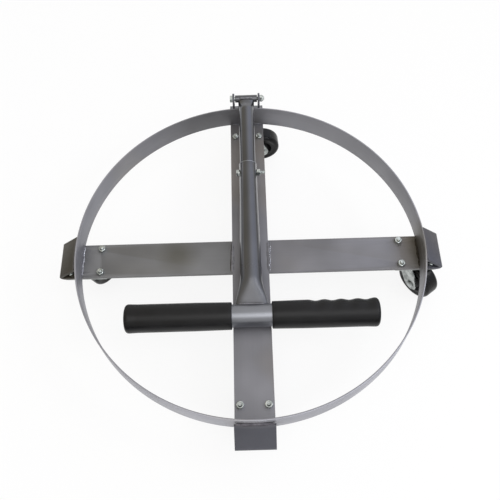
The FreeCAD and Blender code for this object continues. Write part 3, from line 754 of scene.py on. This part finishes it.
# A bead has a length, a width, a height and the length of a pool. The two edges also have a seed, a
# roughness and a share by which they wander.
cross_bead, foot_bead = (41.4, 4.8, 0.3, 2.6), (40, 2.8, 1.1, 2.2)
groove_bead, ear_bead = (43, 3.9, 0.4, 2.4), (16.8, 3, 1.1, 2.2)
bright_edge, edge_painted_shadow = (41, 1.7, 1.3, 2.9, 40, 0.32, 0.9), (40, 0.9, 0.4, 4.0, 42, 0.2, 0.5)
edge_out, edge_up, edge_slant = 1.7, 0.2, radians(-2.5)
foot_in, groove_out, groove_deep, groove_slant = 0.9, 1.6, 2.4, radians(18)
ear_bead_off = (0.7, 0.4, 0.5)
ring_in = ring_r - ring_wall
across_y = quarter(1)
bright_beads, dull_beads, beads_painted_shadow, groove_beads_painted_shade = [], [], [], []
# The pale edge on the right is a painted highlight; the dark edge on the left is a painted shadow along the
# weld's toe.
for turns, edge_beads, edge in ((0, bright_beads, bright_edge), (2, beads_painted_shadow, edge_painted_shadow)):
    for level, flip in ((bar_top, 0), (bar_top - bar_thick, pi)):
        there = quarter(turns) @ shift(bar_width / 2, 0, level) @ Matrix.Rotation(flip, 4, "Y")
        dull_beads.append(put(bead(*cross_bead, turns + flip), there @ across_y))
    # On the top, a thin raised edge wanders along the bead's outer side.
    there = quarter(turns) @ shift(bar_width / 2 + edge_out, 0, bar_top + edge_up)
    edge_beads.append(put(bead(*edge), there @ Matrix.Rotation(edge_slant, 4, "Z") @ across_y))
# The right ring foot's bead is dark, a painted shadow in the corner; the left one's is pale, a painted
# highlight.
foot_beads = (beads_painted_shadow, dull_beads, bright_beads, dull_beads)
for turns in range(4):
    corner = shift(ring_in - foot_in, 0, bar_top + foot_in) @ Matrix.Rotation(-pi / 4, 4, "Y")
    foot = put(bead(*foot_bead, 5 + turns, 0.35, 0.3), corner @ across_y)
    # In the groove between ring and brace, the bead is flat on top and goes down to the bottom.
    valley = shift(ring_r + groove_out, 0, brace_top_z) @ Matrix.Rotation(groove_slant, 4, "Y")
    groove = put(bead(*groove_bead, 9 + turns, sunk=groove_deep), valley @ across_y)
    foot_beads[turns].append(put(foot, quarter(turns)))
    # The groove beads take the darker weld metal, painted shade like the braces'.
    groove_beads_painted_shade.append(put(groove, quarter(turns)))
middle = down_brace(ear_inset + ear_foot / 2)
for side in (-1, 1):
    slope = Matrix.Rotation(-back_angle, 4, "X") @ across_y @ Matrix.Rotation(side * pi / 4, 4, "X")
    there = (side * (ear_outer + ear_bead_off[0]), middle[0] + ear_bead_off[1], middle[1] + ear_bead_off[2])
    dull_beads.append(put(put(bead(*ear_bead, 20 + side), slope), shift(*there)))
for name, made, metal in (("bright", bright_beads, bright_weld), ("dull", dull_beads, dull_weld),
                          ("painted_shadow", beads_painted_shadow, weld_painted_shadow), ("painted_shade", groove_beads_painted_shade, weld_painted_shade)):
    print(len(made), name, "beads on the frame")
    finish(joined(made), "frame_beads_" + name, "chassis", "frame_welds", "weld_metal", metal, 60)

# A bead on the handle has a place along it, half the tube's height there, a length, a width and a rise.
tee_bead, barrel_bead = (-291.17, 4.2, 31.9, 3, 1.0), (-2.13, 4.3, 17.6, 3.2, 1.3)
handle_beads, handle_pool, clear = [], 2.4, 0.2
for side in (-1, 1):
    flip = Matrix.Rotation(0 if side > 0 else pi, 4, "X")
    for place, half, length, width, rise in (tee_bead, barrel_bead):
        made = put(bead(length, width, rise, handle_pool, 30 + side + half), flip)
        handle_beads.append(put(made, handle_place @ shift(0, place, side * (half + clear))))
finish(joined(handle_beads), "handle_beads_dull", "handle", "handle_welds", "weld_metal", dull_weld, 60)

# %% [markdown]
# ## Screws and nuts
# A nut is a hexagon crossed with a turned blank, whose slopes cut its corners off in the usual arcs. A
# screw's thread is a loft whose radius depends on height and angle together, which draws a helix. The same
# shapes, in other lengths, serve the castors, the hinge and the handle's joint.

# %% Screws and nuts
bolt_r, hex_af, head_high, nut_high = 2.5, 8, 3.5, 4
hex_r = hex_af / sqrt(3)


def hex_blank(height, both_ends):
    """A hexagon from Z = 0 up, its corners cut by a turned blank."""
    bpy.ops.mesh.primitive_cylinder_add(vertices=6, radius=hex_r, depth=height, location=(0, 0, height / 2))
    made = put(bpy.context.active_object)
    flat, wide, drop, over = hex_af / 2 * 0.95, hex_r + 0.1, 0.55, 0.01
    low = [(flat, -over), (wide, drop)] if both_ends else [(wide, -over)]
    combine(made, turned_solid(low + [(wide, height - drop), (flat, height + over)], 48), "INTERSECT")
    return made


def nut(height):
    """A nut from Z = 0 up."""
    made = hex_blank(height, True)
    combine(made, disc_tool(bolt_r + 0.1, 4 * height, (0, 0, 0)), "DIFFERENCE")
    round_edges(made, width=0.12)
    return made


def screw(length, threaded, pitch=0.8, points=28):
    """A screw from Z = 0 up, with a hexagon head below."""
    start, steps = length - threaded, int(threaded * 8)
    thread_depth, tip_high, tip_slope = 0.34, 0.7, 0.6
    rings = []
    for height in [0, start] + [start + threaded * i / steps for i in range(1, steps + 1)]:
        tip = max(0, height - length + tip_high) * tip_slope
        ring = []
        for i in range(points):
            turn = (height - start) / pitch - i / points
            depth = thread_depth * abs(2 * (turn % 1) - 1) if height > start else 0
            reach, angle = bolt_r - depth - tip, 2 * pi * i / points
            ring.append((reach * cos(angle), reach * sin(angle), height))
        rings.append(ring)
    shank = loft(rings)
    head = put(hex_blank(head_high, False), Matrix.Rotation(pi, 4, "X"))
    round_edges(head, width=0.12)
    return joined([shank, head])


plate_bottom, plate_thick, bolt_end = 60.0, 2.5, 2.6
castor_nut = nut(nut_high)
castor_screw = screw(plate_thick + bar_thick + nut_high + bolt_end, nut_high + bolt_end)
nuts, screws = [], []
for turns in range(4):
    for along, across in HOLES:
        spot = quarter(turns) @ shift(swivel_r + along, across, 0)
        nuts.append(put(copy_of(castor_nut), spot @ shift(0, 0, bar_top)))
        screws.append(put(copy_of(castor_screw), spot @ shift(0, 0, plate_bottom)))
finish(joined(nuts), "nuts_on_bars", "chassis", "castor_nuts", "zinc_plate", zinc, 30)
finish(joined(screws), "screws_in_bars", "chassis", "castor_bolts", "zinc_plate", zinc, 30)
bpy.data.objects.remove(castor_nut)
bpy.data.objects.remove(castor_screw)
print("castor screws", len(nuts))

# %% [markdown]
# The hinge bolt runs through both ears and the barrel, and its nut has a locking collar. The joint bolt pins
# the two tubes together and stands out of its nut.

# %% Hinge bolt and joint bolt
lock_high, collar_r, collar_bore, collar_high, collar_edge, collar_seat = 3.8, 3.7, 2.7, 1.4, 0.6, 1
hinge_threaded, hinge_end = 9, 1
hinge_place = shift(0, hinge_y, hinge_z) @ along_x

made = screw(2 * ear_outer + lock_high + collar_high + hinge_end, hinge_threaded)
put(made, shift(0, 0, -ear_outer))
finish(put(made, hinge_place), "bolt_of_hinge", "chassis", "hinge_bolt", "zinc_plate", zinc, 30)
lock_nut = nut(lock_high)
low, top = lock_high - collar_seat, lock_high + collar_high
collar = spun_ring([(collar_bore, low), (collar_r, low), (collar_r, top - collar_edge),
                    (collar_r - 0.5, top), (collar_bore, top)], 40)
lock_nut = put(joined([lock_nut, collar]), shift(0, 0, ear_outer))
finish(put(lock_nut, hinge_place), "lock_nut_of_hinge", "chassis", "hinge_nut", "zinc_plate", zinc, 30)

half_joint, joint_at, joint_end = 11.41, 114, 6.4
joint_place = handle_place @ shift(0, -joint_at, 0) @ along_x
made = screw(2 * half_joint + nut_high + joint_end, nut_high + joint_end)
put(made, shift(0, 0, -half_joint))
finish(put(made, joint_place), "bolt_of_joint", "handle", "joint_bolt", "zinc_plate", zinc, 30)
made = put(nut(nut_high), shift(0, 0, half_joint))
finish(put(made, joint_place), "nut_of_joint", "handle", "joint_nut", "zinc_plate", zinc, 30)
print("hinge bolt and joint bolt in place")

# %% [markdown]
# ## The castors
# Each castor is modelled once, about its swivel axis, and copied to the four bar ends. The top plate is
# screwed to the bar. The fork is a strap bent down on both sides, crossed with its side view, with a round
# crown that holds the balls.

# %% Castor plate and fork
fork_gap, fork_thick, fork_bend, crown_top = 24, 2.5, 5, 58.4
fork_half = fork_gap / 2 + fork_thick
trail, axle_z, foot_round, fork_top_half, flare, flare_drop = 19.2, 25.5, 9.5, 12, 8, 7.5
crown_r, kingpin_hole, axle_hole, race_r, ball_r, cut_long = 17, 4.1, 3.1, 13, 2.05, 20


def race_tool(height):
    """A ring of round section that cuts the groove for the balls."""
    angles = [i * pi / 8 for i in range(16)]
    return spun_ring([(race_r + ball_r * cos(angle), height + ball_r * sin(angle)) for angle in angles], 48)


def castor_plate():
    """The top plate, with its screw holes, its kingpin's hole and its ball race."""
    half_x, half_y, corner = 28.5, 22, 5
    outline = []
    for k, (i, j) in enumerate(((1, 1), (-1, 1), (-1, -1), (1, -1))):
        outline += bow((i * (half_x - corner), j * (half_y - corner)), corner, k * pi / 2,
                       (k + 1) * pi / 2, 8)
    made = put(plate(outline, plate_thick), shift(0, 0, plate_bottom))
    for along, across in HOLES:
        combine(made, disc_tool(hole_r, cut_long, (along, across, plate_bottom)), "DIFFERENCE")
    combine(made, disc_tool(kingpin_hole, cut_long, (0, 0, plate_bottom)), "DIFFERENCE")
    combine(made, race_tool(plate_bottom - 0.4), "DIFFERENCE")
    round_edges(made, width=0.3)
    return made


def fork():
    """A strap bent twice, then crossed with its side view."""
    shoulder, turn_y = crown_top - fork_bend, fork_half - fork_bend
    strap_wide, strap_low, over = 60, 5, 65
    bpy.ops.mesh.primitive_plane_add(size=1, location=(trail / 2, -fork_half + fork_thick / 2, strap_low))
    strap = bpy.context.active_object
    strap.scale = (strap_wide, fork_thick, 1)
    put(strap)
    edit(strap)
    push(0, 0, shoulder - strap_low)
    bpy.ops.mesh.spin(steps=10, angle=pi / 2, center=(0, -turn_y, shoulder), axis=(1, 0, 0))
    push(0, 2 * turn_y, 0)
    bpy.ops.mesh.spin(steps=10, angle=pi / 2, center=(0, turn_y, shoulder), axis=(1, 0, 0))
    push(0, 0, strap_low - shoulder)
    tidy(strap)
    front, back = (-fork_top_half, shoulder), (fork_top_half, shoulder)
    first = tangent(front, (trail, axle_z), foot_round, 1) % (2 * pi)
    wide = (fork_top_half + flare, shoulder - flare_drop)
    last = tangent(wide, (trail, axle_z), foot_round, -1) + 2 * pi
    outline = [(fork_top_half, over), (-fork_top_half, over), front]
    outline += bow((trail, axle_z), foot_round, first, last, 28) + [wide, back]
    side = plate(outline, 4 * fork_half)
    # The side view's Y becomes Z, and its thickness lies across Y.
    put(side, Matrix(((1, 0, 0, 0), (0, 0, -1, 2 * fork_half), (0, 1, 0, 0), (0, 0, 0, 1))))
    combine(strap, side, "INTERSECT")
    combine(strap, disc_tool(crown_r, fork_thick, (0, 0, crown_top - fork_thick / 2), points=72), "UNION")
    combine(strap, disc_tool(kingpin_hole, 2 * cut_long, (0, 0, crown_top)), "DIFFERENCE")
    combine(strap, disc_tool(axle_hole, 4 * fork_half, (trail, 0, axle_z), "Y"), "DIFFERENCE")
    combine(strap, race_tool(crown_top + 0.8), "DIFFERENCE")
    round_edges(strap, width=0.35)
    return strap


castor_parts = {"castor_plate": castor_plate(), "fork": fork()}
print("castor plate and fork:", len(castor_parts["fork"].data.polygons), "faces in the fork")

# %% [markdown]
# ## The wheels
# The tyre, with rounded shoulders, and the core, with hub, web and rim, are spun from their sections. The
# axle is a pin with a rounded head on each side.

# %% Wheel and axle
def at_axle(made):
    """Turn a piece from Z to the axle's line and put it at the axle."""
    return put(made, shift(trail, 0, axle_z) @ Matrix.Rotation(pi / 2, 4, "X"))


def tyre():
    """A tyre whose flat tread has points near its middle, which keep the shading straight."""
    inner, outer, foot, half, shoulder, middle = 18, 25.5, 9.5, 10.5, 4.5, 0.5
    section = [(inner, foot)] + bow((outer - shoulder, half - shoulder), shoulder, pi / 2, 0, 10)
    section += [(outer, middle)]
    section += [(r, -h) for r, h in reversed(section)]
    return at_axle(spun_ring(section, 96))


def core():
    """A wheel's core: half its section from the bore to the rim, and the same mirrored."""
    bore, hub, rim, rim_in, web = 5.08, 8.5, 18, 14.5, 4.5
    hub_half, rim_half = 11.7, 9.5
    half = [(bore, hub_half - 0.4), (bore + 0.4, hub_half), (hub - 0.6, hub_half), (hub, hub_half - 0.6),
            (hub + 2.4, web + 1.2), (hub + 3.6, web + 0.3)]
    half += [(rim_in - 2.4, web + 0.1), (rim_in - 1.6, web + 0.9), (rim_in, rim_half), (rim, rim_half)]
    return at_axle(spun_ring(half + [(r, -h) for r, h in reversed(half)], 72))


def axle():
    """A pin between two rounded heads, each given by (radius, height) steps from the fork's face."""
    pin_r = 3
    head = [(4.75, 0), (4.75, 0.9), (4.5, 1.4), (3.9, 1.9), (3.0, 2.25), (1.8, 2.38), (0.6, 2.4)]
    low, high = [(r, -fork_half - h) for r, h in reversed(head)], [(r, fork_half + h) for r, h in head]
    return at_axle(turned_solid(low + [(pin_r, -fork_half), (pin_r, fork_half)] + high, 40))


castor_parts["tyre"], castor_parts["wheel_core"], castor_parts["axle"] = tyre(), core(), axle()
finishes = {"castor_plate": ("zinc_plate", pressed_zinc), "fork": ("zinc_plate", pressed_zinc),
            "axle": ("zinc_plate", pressed_zinc), "tyre": ("wheel_rubber", tyre_rubber),
            "wheel_core": ("wheel_plastic", core_plastic)}
# The angles, in degrees, of each bar and of its castor's trail.
castors = {"front": (-90, 92), "right": (0, -54), "back": (90, 4), "left": (180, 54)}
for name, (bar_angle, trail_angle) in castors.items():
    out = radians(bar_angle)
    spot = shift(swivel_r * cos(out), swivel_r * sin(out), 0)
    for part, made in castor_parts.items():
        turn = bar_angle if part == "castor_plate" else trail_angle
        body = {"castor_plate": "chassis", "tyre": name + "_wheel", "wheel_core": name + "_wheel"}
        twin = put(copy_of(made), spot @ Matrix.Rotation(radians(turn), 4, "Z"))
        finish(twin, name + "_" + part + "_made", body.get(part, name + "_swivel"), name + "_" + part,
               *finishes[part])
for made in castor_parts.values():
    bpy.data.objects.remove(made)
print("castors:", ", ".join(castors))

# %% [markdown]
# ## What stays as it was
# The balls, kingpins, retainers and sleeves are hidden deep in the castors, so the plain solids serve. They
# only take their metals.

# %% Materials of the plain solids
kept = 0
for name in castors:
    for part, metal in (("ball_ring", ground_steel), ("kingpin", zinc), ("retainer", zinc),
                        ("axle_sleeve", ground_steel)):
        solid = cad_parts[name + "_" + part]
        solid.data.materials.clear()
        solid.data.materials.append(metal)
        kept += 1
print("kept", kept, "plain solids")

# %% [markdown]
# ## Floor and light
# A white studio: a paper floor with a low round backdrop, a bright ceiling that the steel mirrors, one large
# soft lamp above the camera and a small window on the right. The room is dim towards the front and the
# horizon, so the sloping braces come out darker than the level bars. It is warmer on the left than on the
# right. The camera and the metal see the paper nearly white, with only a faint shadow, while it lights the
# trolley from below as plain paper does.

# %% Floor
floor_wide, backdrop_r, backdrop_high, paper_share = 20, 8, 1.9, 0.86
bpy.ops.mesh.primitive_plane_add(size=floor_wide, location=(0, 0, 0))
floor = bpy.context.active_object
floor.name = "studio_floor"
bpy.ops.mesh.primitive_cylinder_add(vertices=96, radius=backdrop_r, depth=backdrop_high,
                                    end_fill_type="NOTHING", location=(0, 0, backdrop_high / 2))
backdrop = bpy.context.active_object
backdrop.name = "studio_backdrop"
paper, tree, shader = new_material("white studio paper", Base_Color=colour("#f2f2f2"), Roughness=0.9,
                                   Specular_IOR_Level=0.0)
path = add(tree, "LightPath").outputs
seen = add(tree, "Math", {0: path["Is Camera Ray"], 1: path["Is Glossy Ray"]}, operation="ADD").outputs[0]
seen = add(tree, "Math", {0: seen, 1: path["Is Transmission Ray"]}, operation="ADD", use_clamp=True)
share = add(tree, "Math", {0: seen.outputs[0], 1: paper_share}, operation="MULTIPLY")
white = add(tree, "Emission", {"Color": (1, 1, 1, 1), "Strength": 1.0})
both = add(tree, "MixShader", {0: share.outputs[0], 1: shader.outputs[0], 2: white.outputs[0]})
tree.links.new(both.outputs[0], tree.nodes["Material Output"].inputs["Surface"])
for sheet in (floor, backdrop):
    sheet.data.materials.append(paper)

# %% Light
world = bpy.data.worlds.new("studio surround")
bpy.context.scene.world = world
world.use_nodes = True
sky = world.node_tree
sky.nodes.clear()
way = add(sky, "TexCoord").outputs["Generated"]
# Bright above and to the back, dim towards the front and the horizon.
rise = add(sky, "VectorMath", {0: way, 1: (0, 0.35, 1)}, operation="DOT_PRODUCT")
level = span(sky, rise.outputs["Value"], 0.1, 0.95, 0.75, 1.0)
# Warmer and dimmer on the left, cooler and brighter on the right.
parts = add(sky, "SeparateXYZ", {0: way})
across = parts.outputs["X"]
lean = add(sky, "Math", {0: across, 1: parts.outputs["Z"]}, operation="MULTIPLY")
side = span(sky, lean.outputs[0], -0.25, 0.25, 0.7, 1.3)
strength = add(sky, "Math", {0: level, 1: side}, operation="MULTIPLY")
tone = mix(sky, span(sky, across, -0.5, 0.5), (1.0, 0.93, 0.78, 1), (0.96, 0.99, 1.1, 1))
surround = add(sky, "Background", {"Color": tone, "Strength": strength.outputs[0]})
add(sky, "OutputWorld", {"Surface": surround.outputs[0]})


def soft_light(name, place, wide, deep, energy):
    """An area lamp at a place, aimed at the middle of the floor."""
    bpy.ops.object.light_add(type="AREA", location=place)
    made = bpy.context.active_object
    made.name = name
    made.data.shape = "RECTANGLE"
    made.data.size, made.data.size_y = wide, deep
    made.data.energy = energy
    made.rotation_euler = (-made.location).to_track_quat("-Z", "Y").to_euler()
    return made


# The small window on the right puts glints on the nuts and the ring's edge.
lamp = soft_light("soft lamp overhead", (0.08, -0.7, 1.7), 1.2, 1.1, 6.5)
window = soft_light("small window right", (0.95, -0.25, 1.1), 0.35, 0.35, 2.5)
print("lamps of", lamp.data.energy, "and", window.data.energy, "W, floor and surround set")
